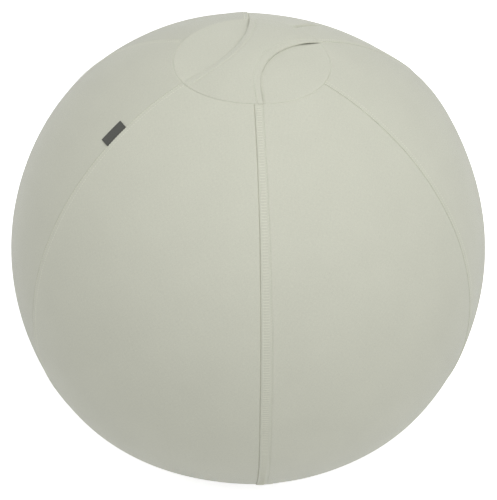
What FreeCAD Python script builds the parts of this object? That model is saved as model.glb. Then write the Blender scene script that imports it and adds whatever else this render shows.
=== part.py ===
import FreeCAD, Part

import math
import os
import Sketcher

from FreeCAD import Placement, Rotation, Vector

# A sitting ball: an inflated inner ball in a sewn cloth cover with a carrying handle on top, a zip in the
# rear half of its base seam and a flat rubber sole.
# Frame: +Z up, origin on the floor under the ball's middle, the handle along Y with its front end at -Y.
# Azimuths start at -Y and grow towards +X. Polar angles start at the top of the ball.

# Driving dimensions, in millimetres and degrees
SIZES = {
    # The ball and its cover
    "ball_radius": 325,
    "foot_radius": 75,
    "sole_thickness": 2.5,
    "cloth": 1.5,
    "soft_gap": 0.3,
    "seam_gap": 0.2,
    "binding_width": 12,
    # The top panel and the handle across it
    "top_ring_radius": 97.7,
    "panel_dip": 9,
    "handle_dip": 1.5,
    "handle_thickness": 2.4,
    "handle_waist": 50,
    "handle_end_angle": 30,
    "grip_length": 60,
    # The base
    "base_ring_radius": 170,
    "base_cloth": 2,
    "ballast_radius": 100,
    "ballast_thickness": 12,
    "sole_groove_width": 5,
    "sole_groove_depth": 1,
    "sole_groove_pitch": 15,
    "sole_rim": 8,
    # The inner ball and its valve
    "bladder_wall": 1.2,
    "valve_polar": 135,
    "valve_neck_radius": 8,
    "valve_neck_gap": 0.1,
    "valve_flange_radius": 16,
    "valve_flange_thickness": 2,
    "valve_bore_radius": 4.5,
    "plug_head_radius": 6.5,
    "plug_head_thickness": 1,
    "plug_length": 20,
    "plug_tip_radius": 3.6,
    # The zip
    "zip_slot": 12,
    "zip_sweep": 179,
    "tape_overlap": 8,
    "tape_thickness": 0.5,
    "coil_width": 2.45,
    "coil_height": 2,
    "coil_parting": 1.1,
    "stop_inset_angle": 2,
    "stop_length": 3,
    "slider_length": 12,
    "slider_gap": 0.35,
    "slider_wall": 1,
    "slider_plate": 1.4,
    "slider_back_plate": 0.9,
    "slider_web": 0.5,
    "bridge_width": 2,
    "bridge_wall": 1.2,
    "bridge_inner_span": 4.4,
    "bridge_inner_height": 3.2,
    "bridge_corner": 0.8,
    "pull_length": 24,
    "pull_width": 6.8,
    "pull_thickness": 1.4,
    "pull_pivot_radius": 0.8,
    "pull_eye_width": 2.9,
    "pull_eye_length": 4.6,
    "pull_hole_radius": 1.6,
    # The side tag
    "tag_seam_azimuth": 330,
    "tag_polar": 35.5,
    "tag_length": 32,
    "tag_reach": 15,
    "tag_thickness": 1,
    "tag_lift": 0.4,
    "tag_root": 1,
}

GORES = ["front", "front_right", "rear_right", "rear", "rear_left", "front_left"]
REAR_GORES = ["rear_right", "rear", "rear_left"]
SEAMS = ["front_right", "right", "rear_right", "rear_left", "left", "front_left"]
FRONT_AZIMUTH = 0
REAR_AZIMUTH = 180

# Lengths and angles that follow from the driving dimensions
# Gores and base panel share their inside face, so a thicker base cloth stands proud outside
COVER_INSIDE = "(dims.ball_radius - dims.cloth)"
BASE_OUTSIDE = f"({COVER_INSIDE} + dims.base_cloth)"
CENTRE = f"(dims.sole_thickness + sqrt({BASE_OUTSIDE}^2 - dims.foot_radius^2))"
# The space between the cover and the inner ball holds the zip's tape and the slider's back plate
LINING_GAP = "(dims.seam_gap + dims.tape_thickness + dims.slider_back_plate + 2 * dims.soft_gap)"
BLADDER_DEPTH = f"(dims.cloth + {LINING_GAP})"
BLADDER_RADIUS = f"(dims.ball_radius - {BLADDER_DEPTH})"
BINDING_OUTSIDE = f"({COVER_INSIDE} - dims.soft_gap)"
BINDING_THICKNESS = f"({LINING_GAP} - 2 * dims.soft_gap)"
TOP_RING = "asin(dims.top_ring_radius / dims.ball_radius)"
BASE_RING = "(180 deg - asin(dims.base_ring_radius / dims.ball_radius))"
TOP_RING_HEIGHT = f"({CENTRE} + sqrt(dims.ball_radius^2 - dims.top_ring_radius^2))"
TAPE_OUTSIDE = f"({COVER_INSIDE} - dims.seam_gap)"
COIL_OUTSIDE = f"({TAPE_OUTSIDE} + dims.coil_height)"
TAPE_REACH = "(dims.zip_slot / 2 + dims.tape_overlap)"

doc = FreeCAD.newDocument("sitting_ball")
sheet = doc.addObject("Spreadsheet::Sheet", "dims")
for row, (alias, number) in enumerate(SIZES.items(), start=1):
    sheet.set(f"A{row}", str(number))
    sheet.setAlias(f"A{row}", alias)
doc.recompute()

nodes = {}


def value(expression):
    """The number that an expression on the sheet gives now, angles in degrees."""
    result = sheet.evalExpression(expression)
    return float(getattr(result, "Value", result))


def along_surface(length):
    """The angle at the ball's centre of a length along the ball's surface."""
    return f"(({length}) / dims.ball_radius * 1 rad)"


def polar_point(radius, polar, centre=CENTRE):
    """A point of the half section at a radius from a centre on the axis and at a polar angle."""
    return f"({radius}) * sin({polar})", f"{centre} + ({radius}) * cos({polar})"


def cap_radius(rim_radius, crown):
    """The radius of the arc that rises by the crown from its rim to the axis."""
    return f"((({rim_radius})^2 + ({crown})^2) / (2 * ({crown})))"


def new_body(label, placement=None):
    """An empty body with the node's or helper's name, at its place."""
    body = doc.addObject("PartDesign::Body", label)
    body.Label = label
    if placement:
        body.Placement = placement
    return body


def facing(azimuth):
    """The turn about Z that points the section plane's X axis at an azimuth."""
    return Placement(Vector(), Rotation(Vector(0, 0, 1), azimuth - 90))


def on_ball(azimuth, polar):
    """The frame on the ball's face: X along the parallel, Y up the meridian, Z outwards."""
    turn = Rotation(Vector(0, 0, 1), azimuth) * Rotation(Vector(1, 0, 0), polar)
    outward = turn.multVec(Vector(0, 0, value("dims.ball_radius")))
    return Placement(Vector(0, 0, value(CENTRE)) + outward, turn)


def new_sketch(body, role):
    """A sketch on one of the body's own origin planes."""
    sketch = body.newObject("Sketcher::SketchObject", "sketch")
    plane = next(feature for feature in body.Origin.OriginFeatures if feature.Role == role)
    sketch.AttachmentSupport = (plane, "")
    sketch.MapMode = "FlatFace"
    return sketch


def bind_constraint(sketch, constraint, expression):
    """Add a dimension to the sketch and tie it to the sheet."""
    index = sketch.addConstraint(constraint)
    sketch.setExpression(f"Constraints[{index}]", expression)


def pin(sketch, element, position, x, y):
    """Fix a point of the sketch by its two coordinates."""
    for kind, axis, coordinate in (("DistanceX", -2, x), ("DistanceY", -1, y)):
        if coordinate == "0":
            sketch.addConstraint(Sketcher.Constraint("PointOnObject", element, position, axis))
        else:
            start = value(coordinate)
            bind_constraint(sketch, Sketcher.Constraint(kind, element, position, start), coordinate)


def add_outline(sketch, corners, arcs=None):
    """Draw a closed outline through corners given as pairs of expressions.

    arcs maps the number of an edge to the radius of its arc and the way the arc turns: 1 to the left
    along the outline, -1 to the right.
    """
    arcs = arcs or {}
    points = [Vector(value(x), value(y), 0) for x, y in corners]
    starts, ends = [], []
    for number, start in enumerate(points):
        end = points[(number + 1) % len(points)]
        if number in arcs:
            radius, turn = arcs[number]
            chord = end - start
            reach = value(radius)
            side = Vector(-chord.y, chord.x, 0).normalize() * turn
            middle = (start + end) / 2 + side * math.sqrt(reach**2 - (chord.Length / 2)**2)
            first, last = (start, end) if turn > 0 else (end, start)
            angles = [math.atan2(point.y - middle.y, point.x - middle.x) for point in (first, last)]
            circle = Part.Circle(middle, Vector(0, 0, 1), reach)
            element = sketch.addGeometry(Part.ArcOfCircle(circle, *angles))
            bind_constraint(sketch, Sketcher.Constraint("Radius", element, reach), radius)
            starts.append((element, 1 if turn > 0 else 2))
            ends.append((element, 2 if turn > 0 else 1))
        else:
            element = sketch.addGeometry(Part.LineSegment(start, end))
            starts.append((element, 1))
            ends.append((element, 2))
    for number, corner in enumerate(corners):
        sketch.addConstraint(Sketcher.Constraint("Coincident", *ends[number - 1], *starts[number]))
        pin(sketch, *starts[number], *corner)


def add_circle(sketch, x, y, radius):
    """Draw a circle by its centre and radius."""
    circle = Part.Circle(Vector(value(x), value(y), 0), Vector(0, 0, 1), value(radius))
    element = sketch.addGeometry(circle)
    bind_constraint(sketch, Sketcher.Constraint("Radius", element, value(radius)), radius)
    pin(sketch, element, 3, x, y)


def revolve(body, corners, arcs=None, sweep="360"):
    """Turn a half section about Z, to both sides of the body's XZ plane."""
    sketch = new_sketch(body, "XZ_Plane")
    add_outline(sketch, corners, arcs)
    feature = body.newObject("PartDesign::Revolution", "revolution")
    feature.Profile = sketch
    feature.ReferenceAxis = (sketch, ["V_Axis"])
    feature.Midplane = True
    feature.setExpression("Angle", sweep)


def pad(body, sketch, thickness):
    """Thicken a sketch evenly to both sides of its plane."""
    feature = body.newObject("PartDesign::Pad", "pad")
    feature.Profile = sketch
    feature.SideType = "Symmetric"
    feature.setExpression("Length", thickness)


def cut_through(body, sketch):
    """Cut a sketch through the whole body, to both sides of its plane."""
    feature = body.newObject("PartDesign::Pocket", "pocket")
    feature.Profile = sketch
    feature.SideType = "Symmetric"
    feature.Type = "ThroughAll"


def band(body, outside, thickness, upper, lower, sweep="360", centre=CENTRE):
    """A revolved band between two polar angles, of even thickness."""
    inside = f"({outside} - {thickness})"
    corners = [
        polar_point(outside, upper, centre),
        polar_point(outside, lower, centre),
        polar_point(inside, lower, centre),
        polar_point(inside, upper, centre),
    ]
    revolve(body, corners, {0: (outside, -1), 2: (inside, 1)}, sweep)


def keep(label, subpart):
    """Name a finished sub-part as a node of the object."""
    subpart.Label = label
    nodes[label] = subpart


def gores():
    """Six panels from the top ring to the base seam; the rear three stop at the zip's slot."""
    step = 360 / len(GORES)
    for number, name in enumerate(GORES):
        hem = "dims.zip_slot / 2" if name in REAR_GORES else "dims.seam_gap"
        body = new_body(f"gore_{name}", facing(number * step))
        lower = f"{BASE_RING} - {along_surface(hem)}"
        band(body, "dims.ball_radius", "dims.cloth", TOP_RING, lower, f"{step}")
        keep(f"gore_{name}", body)


def seam_bindings():
    """A bound strip under each gore, beside its seam on the side of growing azimuth."""
    step = 360 / len(SEAMS)
    upper = f"{TOP_RING} + {along_surface('dims.soft_gap')}"
    lower = f"{BASE_RING} - {along_surface(TAPE_REACH + ' + dims.soft_gap')}"
    for number, name in enumerate(SEAMS):
        body = new_body(f"seam_binding_{name}", facing((number + 0.5) * step))
        band(body, BINDING_OUTSIDE, BINDING_THICKNESS, upper, lower, f"{step}")
        sketch = new_sketch(body, "XY_Plane")
        far = "2 * dims.ball_radius"
        for near, away in (("dims.soft_gap", f"-({far})"), ("dims.soft_gap + dims.binding_width", far)):
            add_outline(sketch, [("0", near), (far, near), (far, away), ("0", away)])
        cut_through(body, sketch)
        keep(f"seam_binding_{name}", body)


PANEL_RIM = "(dims.top_ring_radius - dims.soft_gap)"
PANEL_CROWN = "(dims.ball_radius - sqrt(dims.ball_radius^2 - dims.top_ring_radius^2) - dims.panel_dip)"
PANEL_ARC = cap_radius(PANEL_RIM, PANEL_CROWN)
PANEL_ARC_CENTRE = f"({TOP_RING_HEIGHT} + {PANEL_CROWN} - {PANEL_ARC})"


def cap(body, outside, thickness, rim_radius, centre):
    """A revolved cap of even thickness that closes over the axis."""
    inside = f"({outside} - {thickness})"
    corners = [
        ("0", f"{centre} + {outside}"),
        polar_point(outside, f"asin({rim_radius} / {outside})", centre),
        polar_point(inside, f"asin({rim_radius} / {outside})", centre),
        ("0", f"{centre} + {inside}"),
    ]
    revolve(body, corners, {0: (outside, -1), 2: (inside, 1)})


def top_panel():
    """The round panel inside the top ring, flatter than the ball, and the bound seam under its rim."""
    body = new_body("top_panel")
    cap(body, PANEL_ARC, "dims.cloth", PANEL_RIM, PANEL_ARC_CENTRE)
    keep("top_panel", body)

    outside = f"({PANEL_ARC} - dims.cloth - dims.soft_gap)"
    body = new_body("ring_binding")
    inner_rim = f"asin(({PANEL_RIM} - dims.binding_width) / {outside})"
    outer_rim = f"asin(({PANEL_RIM} - dims.soft_gap) / {outside})"
    band(body, outside, BINDING_THICKNESS, inner_rim, outer_rim, centre=PANEL_ARC_CENTRE)
    keep("ring_binding", body)


# The handle's underside arches from just above the ball at the ring to just under the top of the ball's curve
HANDLE_RIM_HEIGHT = f"({CENTRE} + sqrt((dims.ball_radius + dims.soft_gap)^2 - {PANEL_RIM}^2))"
HANDLE_TOP = f"({CENTRE} + dims.ball_radius - dims.handle_dip)"
HANDLE_ARC = cap_radius(PANEL_RIM, f"{HANDLE_TOP} - {HANDLE_RIM_HEIGHT}")
HANDLE_ARC_CENTRE = f"({HANDLE_TOP} - {HANDLE_ARC})"
# The circle that hollows each side of the handle passes through its waist and its ends on the ring
HANDLE_END = "(dims.top_ring_radius * sin(dims.handle_end_angle))"
HANDLE_SIDE = ("((dims.top_ring_radius^2 - (dims.handle_waist / 2)^2)"
               f" / (2 * ({HANDLE_END} - dims.handle_waist / 2)))")


def handle_section(label, low, high):
    """The part of the handle between two distances along Y."""
    body = new_body(label)
    outside = f"({HANDLE_ARC} + dims.handle_thickness)"
    cap(body, outside, "dims.handle_thickness", PANEL_RIM, HANDLE_ARC_CENTRE)
    sketch = new_sketch(body, "XY_Plane")
    side_radius = f"({HANDLE_SIDE} - dims.handle_waist / 2)"
    add_circle(sketch, HANDLE_SIDE, "0", side_radius)
    add_circle(sketch, f"-{HANDLE_SIDE}", "0", side_radius)
    cut_through(body, sketch)
    far = "2 * dims.top_ring_radius"
    for edge, away in ((low, f"-({far})"), (high, far)):
        if edge:
            sketch = new_sketch(body, "XY_Plane")
            add_outline(sketch, [(f"-({far})", edge), (far, edge), (far, away), (f"-({far})", away)])
            cut_through(body, sketch)
    keep(label, body)


def handle():
    """The free grip in the middle, and the two tails that are sewn into the ring."""
    half = "dims.grip_length / 2"
    tail = f"({half} + dims.seam_gap)"
    handle_section("handle_grip", f"-({half})", half)
    handle_section("handle_front_tail", None, f"-{tail}")
    handle_section("handle_rear_tail", tail, None)


def base_panel():
    """The bowl under the gores: flat on the sole, then on the ball's curve up to the base seam."""
    flat_inside = f"sqrt({COVER_INSIDE}^2 - ({CENTRE} - dims.sole_thickness - dims.base_cloth)^2)"
    slot_edge = f"{BASE_RING} + {along_surface('dims.zip_slot / 2')}"
    corners = [
        ("0", "dims.sole_thickness"),
        ("dims.foot_radius", "dims.sole_thickness"),
        polar_point(BASE_OUTSIDE, slot_edge),
        polar_point(COVER_INSIDE, slot_edge),
        (flat_inside, "dims.sole_thickness + dims.base_cloth"),
        ("0", "dims.sole_thickness + dims.base_cloth"),
    ]
    body = new_body("base_panel", facing(FRONT_AZIMUTH))
    revolve(body, corners, {1: (BASE_OUTSIDE, 1), 3: (COVER_INSIDE, -1)})
    seam_edge = f"{BASE_RING} + {along_surface('dims.seam_gap')}"
    overlap = f"{slot_edge} + {along_surface('dims.base_cloth')}"
    band(body, BASE_OUTSIDE, "dims.base_cloth", seam_edge, overlap, "180")
    keep("base_panel", body)

    upper = f"{BASE_RING} - {along_surface('dims.binding_width')}"
    body = new_body("base_binding", facing(FRONT_AZIMUTH))
    band(body, BINDING_OUTSIDE, BINDING_THICKNESS, upper, seam_edge, "dims.zip_sweep")
    keep("base_binding", body)


def base_sole():
    """A flat rubber disc with ring grooves in its underside."""
    body = new_body("base_sole")
    room = value("dims.foot_radius - dims.sole_rim - dims.sole_groove_width")
    grooves = int(room // value("dims.sole_groove_pitch"))
    corners = [("0", "0")]
    for number in range(1, grooves + 1):
        near = f"({number} * dims.sole_groove_pitch)"
        far = f"({near} + dims.sole_groove_width)"
        corners += [(near, "0"), (near, "dims.sole_groove_depth")]
        corners += [(far, "dims.sole_groove_depth"), (far, "0")]
    corners += [("dims.foot_radius", "0"), ("dims.foot_radius", "dims.sole_thickness")]
    corners += [("0", "dims.sole_thickness")]
    revolve(body, corners)
    keep("base_sole", body)


BALLAST_FLOOR = "(dims.sole_thickness + dims.base_cloth + dims.soft_gap)"
BALLAST_TOP = f"({BALLAST_FLOOR} + dims.ballast_thickness)"


def ballast_pad():
    """A flat-topped pad that fills the bowl of the base under the inner ball."""
    underside = f"({COVER_INSIDE} - dims.soft_gap)"
    flat = f"sqrt({underside}^2 - ({CENTRE} - {BALLAST_FLOOR})^2)"
    rim = "dims.ballast_radius"
    corners = [
        ("0", BALLAST_FLOOR),
        (flat, BALLAST_FLOOR),
        (rim, f"{CENTRE} - sqrt({underside}^2 - {rim}^2)"),
        (rim, BALLAST_TOP),
        ("0", BALLAST_TOP),
    ]
    body = new_body("ballast_pad")
    revolve(body, corners, {1: (underside, 1)})
    keep("ballast_pad", body)


def bladder_outline(inset):
    """The inner ball's half outline at a depth under its face, flat over the pad and under the top panel."""
    radius = f"({BLADDER_RADIUS} - {inset})"
    floor = f"({BALLAST_TOP} + dims.soft_gap + {inset})"
    shoulder = polar_point(radius, TOP_RING)
    crown = f"({CENTRE} + {BLADDER_RADIUS} - dims.panel_dip - {inset})"
    corners = [("0", floor), (f"sqrt({radius}^2 - ({CENTRE} - {floor})^2)", floor), shoulder, ("0", crown)]
    top = cap_radius(shoulder[0], f"{crown} - ({shoulder[1]})")
    return corners, {1: (radius, 1), 2: (top, 1)}


def bladder():
    """The hollow inner ball, with a round hole for the valve's neck."""
    body = new_body("bladder_skin")
    revolve(body, *bladder_outline("0"))
    corners, arcs = bladder_outline("dims.bladder_wall")
    sketch = new_sketch(body, "XZ_Plane")
    add_outline(sketch, corners, arcs)
    hollow = body.newObject("PartDesign::Groove", "hollow")
    hollow.Profile = sketch
    hollow.ReferenceAxis = (sketch, ["V_Axis"])
    hollow.Angle = 360

    hole = doc.addObject("Part::Cylinder", "valve_hole")
    hole.setExpression("Radius", "dims.valve_neck_radius + dims.valve_neck_gap")
    hole_depth = f"2 * ({BLADDER_DEPTH} + dims.bladder_wall)"
    hole.setExpression("Height", hole_depth)
    place = on_ball(REAR_AZIMUTH, value("dims.valve_polar"))
    hole.Placement = place * Placement(Vector(0, 0, -value(hole_depth)), Rotation())
    skin = doc.addObject("Part::Cut", "bladder")
    skin.Base = body
    skin.Tool = hole
    keep("bladder", skin)


def valve():
    """A seat with a neck through the inner ball's wall, and the plug in its bore, flush with the wall."""
    face = f"-{BLADDER_DEPTH}"
    edge_sag = f"({BLADDER_RADIUS} - sqrt({BLADDER_RADIUS}^2 - dims.valve_flange_radius^2))"
    flange_top = f"{face} - dims.bladder_wall - {edge_sag} - dims.valve_neck_gap"
    flange_bottom = f"{flange_top} - dims.valve_flange_thickness"
    recess = f"{face} - dims.plug_head_thickness"
    head_room = "dims.plug_head_radius + dims.valve_neck_gap"
    place = on_ball(REAR_AZIMUTH, value("dims.valve_polar"))

    seat = new_body("valve_seat", place)
    revolve(seat, [
        ("dims.valve_bore_radius", flange_bottom),
        ("dims.valve_flange_radius", flange_bottom),
        ("dims.valve_flange_radius", flange_top),
        ("dims.valve_neck_radius", flange_top),
        ("dims.valve_neck_radius", face),
        (head_room, face),
        (head_room, recess),
        ("dims.valve_bore_radius", recess),
    ])
    keep("valve_seat", seat)

    stem = "dims.valve_bore_radius - dims.valve_neck_gap"
    plug = new_body("valve_plug", place)
    revolve(plug, [
        ("0", face),
        ("dims.plug_head_radius", face),
        ("dims.plug_head_radius", recess),
        (stem, recess),
        (stem, flange_bottom),
        ("dims.plug_tip_radius", f"{face} - dims.plug_length"),
        ("0", f"{face} - dims.plug_length"),
    ])
    keep("valve_plug", plug)


def zip_chain():
    """Two tapes under the hems of the slot, with a row of coil along the inner edge of each."""
    place = facing(REAR_AZIMUTH)
    near = "dims.coil_parting / 2"
    rows = {
        "tape": (TAPE_OUTSIDE, "dims.tape_thickness", TAPE_REACH),
        "coil": (COIL_OUTSIDE, "dims.coil_height", f"{near} + dims.coil_width"),
    }
    for kind, (outside, thickness, reach) in rows.items():
        upper = new_body(f"zip_upper_{kind}", place)
        band(upper, outside, thickness, f"{BASE_RING} - {along_surface(reach)}",
             f"{BASE_RING} - {along_surface(near)}", "dims.zip_sweep")
        keep(f"zip_upper_{kind}", upper)
        lower = new_body(f"zip_lower_{kind}", place)
        band(lower, outside, thickness, f"{BASE_RING} + {along_surface(near)}",
             f"{BASE_RING} + {along_surface(reach)}", "dims.zip_sweep")
        keep(f"zip_lower_{kind}", lower)


def zip_point(across, out):
    """A point of the section through the zip: across the chain, up the ball, and out from the ball's face."""
    x = f"dims.base_ring_radius - ({across}) * cos({BASE_RING}) + ({out}) * sin({BASE_RING})"
    z = (f"{CENTRE} + dims.ball_radius * cos({BASE_RING}) + ({across}) * sin({BASE_RING})"
         f" + ({out}) * cos({BASE_RING})")
    return x, z


# Heights of the zip's layers over the ball's face
COIL_TOP = f"({COIL_OUTSIDE} - dims.ball_radius)"
TAPE_TOP = f"({TAPE_OUTSIDE} - dims.ball_radius)"
PLATE_UNDER = f"({COIL_TOP} + dims.slider_gap)"
PLATE_TOP = f"({PLATE_UNDER} + dims.slider_plate)"
BACK_TOP = f"({TAPE_TOP} - dims.tape_thickness - dims.soft_gap)"
PIVOT_OUT = f"({PLATE_TOP} + dims.bridge_inner_height / 2)"
COIL_EDGE = "(dims.coil_parting / 2 + dims.coil_width)"


def slider_angle():
    """The azimuth of the slider when the zip is closed: just past the stop at the zip's right end."""
    ring = value("dims.base_ring_radius")
    half_sweep = value("dims.zip_sweep") / 2
    taken = value("dims.stop_length + dims.soft_gap + dims.slider_length / 2") / ring
    return REAR_AZIMUTH - half_sweep + value("dims.stop_inset_angle") + math.degrees(taken)


def zip_stops():
    """A block across both tapes at each end of the zip, over the ends of the coils."""
    outside = f"({COIL_OUTSIDE} + dims.soft_gap + dims.slider_wall)"
    ring = value("dims.base_ring_radius")
    half_length = math.degrees(value("dims.stop_length") / 2 / ring)
    inset = value("dims.zip_sweep") / 2 - value("dims.stop_inset_angle") - half_length
    for label, azimuth in (("zip_start_stop", REAR_AZIMUTH - inset), ("zip_end_stop", REAR_AZIMUTH + inset)):
        body = new_body(label, facing(azimuth))
        sweep = "dims.stop_length / dims.base_ring_radius * 1 rad"
        reach = along_surface(COIL_EDGE)
        band(body, outside, "dims.slider_wall", f"{BASE_RING} - {reach}", f"{BASE_RING} + {reach}", sweep)
        keep(label, body)


def zip_slider():
    """A slider body that follows the zip's curve, with a bridge that carries the pull."""
    flange_in = f"({COIL_EDGE} + dims.slider_gap)"
    flange_out = f"({flange_in} + dims.slider_wall)"
    flange_low = f"({TAPE_TOP} + dims.slider_gap)"
    back_under = f"({BACK_TOP} - dims.slider_back_plate)"
    web = "(dims.slider_web / 2)"
    half = [
        (flange_out, PLATE_TOP),
        (flange_out, flange_low),
        (flange_in, flange_low),
        (flange_in, PLATE_UNDER),
        (web, PLATE_UNDER),
        (web, BACK_TOP),
        (flange_out, BACK_TOP),
        (flange_out, back_under),
    ]
    section = half + [(f"-{across}", out) for across, out in reversed(half)]
    slider_body = new_body("slider_body", facing(slider_angle()))
    sweep = "dims.slider_length / dims.base_ring_radius * 1 rad"
    revolve(slider_body, [zip_point(across, out) for across, out in section], sweep=sweep)

    inner = "(dims.bridge_inner_span / 2)"
    outer = f"({inner} + dims.bridge_wall)"
    foot = f"({PLATE_TOP} - dims.slider_plate / 2)"
    under = f"({PLATE_TOP} + dims.bridge_inner_height)"
    crest = f"({under} + dims.bridge_wall)"
    corner = "dims.bridge_corner"
    round_outer = f"({corner} + dims.bridge_wall)"
    arch = [
        (outer, foot),
        (outer, f"{crest} - {round_outer}"),
        (f"{outer} - {round_outer}", crest),
        (f"-({outer} - {round_outer})", crest),
        (f"-{outer}", f"{crest} - {round_outer}"),
        (f"-{outer}", foot),
        (f"-{inner}", foot),
        (f"-{inner}", f"{under} - {corner}"),
        (f"-({inner} - {corner})", under),
        (f"{inner} - {corner}", under),
        (inner, f"{under} - {corner}"),
        (inner, foot),
    ]
    bridge = new_body("slider_bridge", on_ball(slider_angle(), value(BASE_RING)))
    sketch = new_sketch(bridge, "XZ_Plane")
    add_outline(sketch, arch, {1: (round_outer, 1), 3: (round_outer, 1), 7: (corner, -1), 9: (corner, -1)})
    pad(bridge, sketch, "dims.bridge_width")

    slider = doc.addObject("Part::Fuse", "zip_slider")
    slider.Base = slider_body
    slider.Tool = bridge
    keep("zip_slider", slider)


def zip_pull():
    """A round-ended tab on a pivot bar under the slider's bridge, hanging straight out from the ball."""
    body = new_body("zip_pull", on_ball(slider_angle(), value(BASE_RING)))
    side = "(dims.pull_width / 2)"
    eye = "(dims.pull_eye_width / 2)"
    eye_end = f"({PIVOT_OUT} + dims.pull_eye_length)"
    tip = f"({PIVOT_OUT} + dims.pull_length)"
    outline = [
        (side, PIVOT_OUT),
        (side, f"{tip} - {side}"),
        ("0", tip),
        (f"-{side}", f"{tip} - {side}"),
        (f"-{side}", PIVOT_OUT),
        (f"-{eye}", PIVOT_OUT),
        (f"-{eye}", eye_end),
        (eye, eye_end),
        (eye, PIVOT_OUT),
    ]
    sketch = new_sketch(body, "YZ_Plane")
    add_outline(sketch, outline, {1: (side, 1), 2: (side, 1)})
    add_circle(sketch, "0", f"{tip} - {side}", "dims.pull_hole_radius")
    pad(body, sketch, "dims.pull_thickness")
    bar = new_sketch(body, "XZ_Plane")
    add_circle(bar, "0", PIVOT_OUT, "dims.pull_pivot_radius")
    pad(body, bar, "dims.pull_width")
    keep("zip_pull", body)


TAG_MIDDLE = "(dims.tag_lift + dims.tag_thickness / 2)"


def side_tag():
    """A folded strip with round long edges, sewn into the front left seam and lying on the gore beside it."""
    body = new_body("side_tag", on_ball(value("dims.tag_seam_azimuth"), value("dims.tag_polar")))
    half = "(dims.tag_thickness / 2)"
    root = "-dims.tag_root"
    free = f"({root} - dims.tag_reach + dims.tag_thickness)"
    low = "dims.tag_lift"
    high = "(dims.tag_lift + dims.tag_thickness)"
    outline = [
        (root, low),
        (f"{root} + {half}", TAG_MIDDLE),
        (root, high),
        (free, high),
        (f"{free} - {half}", TAG_MIDDLE),
        (free, low),
    ]
    sketch = new_sketch(body, "XZ_Plane")
    rounds = {number: (half, 1) for number in (0, 1, 3, 4)}
    add_outline(sketch, outline, rounds)
    pad(body, sketch, "dims.tag_length")
    keep("side_tag", body)


def write_nodes():
    """Check every object of the document, then write one file per node."""
    doc.recompute()
    for item in doc.Objects:
        if "Invalid" in item.State or "Error" in item.State:
            raise RuntimeError(f"{item.Label} failed: {item.State}")
    for label, subpart in nodes.items():
        shape = subpart.Shape
        if shape.isNull() or not shape.isValid() or len(shape.Solids) != 1:
            raise RuntimeError(f"{label} is not one valid solid")
    os.makedirs("parts", exist_ok=True)
    for label, subpart in nodes.items():
        subpart.Shape.exportStep(f"parts/{label}.step")


def print_joint(name, place, point, axis):
    """Print a joint's place and direction in the part's frame."""
    where = place.multVec(point)
    way = place.Rotation.multVec(axis)
    print(name, "at", [round(number, 3) for number in where], "along", [round(number, 6) for number in way])


gores()
seam_bindings()
top_panel()
handle()
base_panel()
base_sole()
ballast_pad()
bladder()
valve()
zip_chain()
zip_stops()
zip_slider()
zip_pull()
side_tag()
write_nodes()

slider_place = on_ball(slider_angle(), value(BASE_RING))
tag_place = on_ball(value("dims.tag_seam_azimuth"), value("dims.tag_polar"))
print("ball centre height", value(CENTRE), "slider azimuth", slider_angle())
print_joint("zip_pull", slider_place, Vector(0, 0, value(PIVOT_OUT)), Vector(0, 1, 0))
print_joint("side_tag", tag_place, Vector(-value("dims.tag_root"), 0, value(TAG_MIDDLE)), Vector(0, 1, 0))
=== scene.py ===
"""The looks of a sitting ball: a sewn cloth cover with a carrying handle, round an inflated inner ball."""

import bpy
import numpy as np
from mathutils import Matrix, Vector


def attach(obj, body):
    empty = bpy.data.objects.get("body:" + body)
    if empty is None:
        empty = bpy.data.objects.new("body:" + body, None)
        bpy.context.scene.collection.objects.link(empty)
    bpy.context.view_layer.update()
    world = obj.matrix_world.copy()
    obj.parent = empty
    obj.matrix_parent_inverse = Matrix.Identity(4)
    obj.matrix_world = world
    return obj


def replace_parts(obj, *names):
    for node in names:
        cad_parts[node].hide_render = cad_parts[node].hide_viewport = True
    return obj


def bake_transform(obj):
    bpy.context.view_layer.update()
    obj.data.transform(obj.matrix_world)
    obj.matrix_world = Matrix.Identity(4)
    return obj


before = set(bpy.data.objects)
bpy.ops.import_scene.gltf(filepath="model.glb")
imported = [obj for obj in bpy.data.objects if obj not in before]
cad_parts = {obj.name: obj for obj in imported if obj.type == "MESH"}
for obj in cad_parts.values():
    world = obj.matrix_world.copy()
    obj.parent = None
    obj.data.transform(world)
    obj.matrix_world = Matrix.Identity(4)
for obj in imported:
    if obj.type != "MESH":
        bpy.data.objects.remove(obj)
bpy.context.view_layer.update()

# Sizes of the part in millimetres, angles in radians
MM = 0.001
BALL = 325.0
CENTRE = 319.2416
MIDDLE = np.array([0, 0, CENTRE])
RING = 95.15
TOP_POLAR = np.arcsin(RING / BALL)
RING_HEIGHT = CENTRE + BALL * np.cos(TOP_POLAR)
PANEL_CROWN = 8.5
HANDLE_CROWN = 13.4
GRIP = 30.0
BASE_RING = 170.0
BASE_POLAR = np.pi - np.arcsin(BASE_RING / BALL)
ZIP_SLOT = 12.0
ZIP_SWEEP = np.radians(179)
BASE_FACE = 325.5
BASE_CLOTH = 2.0
FOOT = 75.0
SOLE = 2.5
INNER_BALL = 321.3
SLACK = 0.5
CLOTH = 1.3
ZIP_HEM = 8
HANDLE_HEM = 9.4
HANDLE_END = 80.0
TAG_POLAR = np.radians(35.5)
TAG_HALF = 16
TAG_REACH = 14.7
TAG_TAPE = 0.19
PAD = 97
PAD_TOP = 17.1

# Sewing: the step from stitch to stitch, a stitch's length and its thread's radius
PITCH = 3.4
STITCH = 2.5
THREAD = 0.42

# Gores run round the ball from the front; each begins at the seam of the same number
GORES = ["front", "front_right", "rear_right", "rear", "rear_left", "front_left"]
SEAMS = ["front_left", "front_right", "right", "rear_right", "rear_left", "left"]
GORE_SPAN = np.pi / 3

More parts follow.
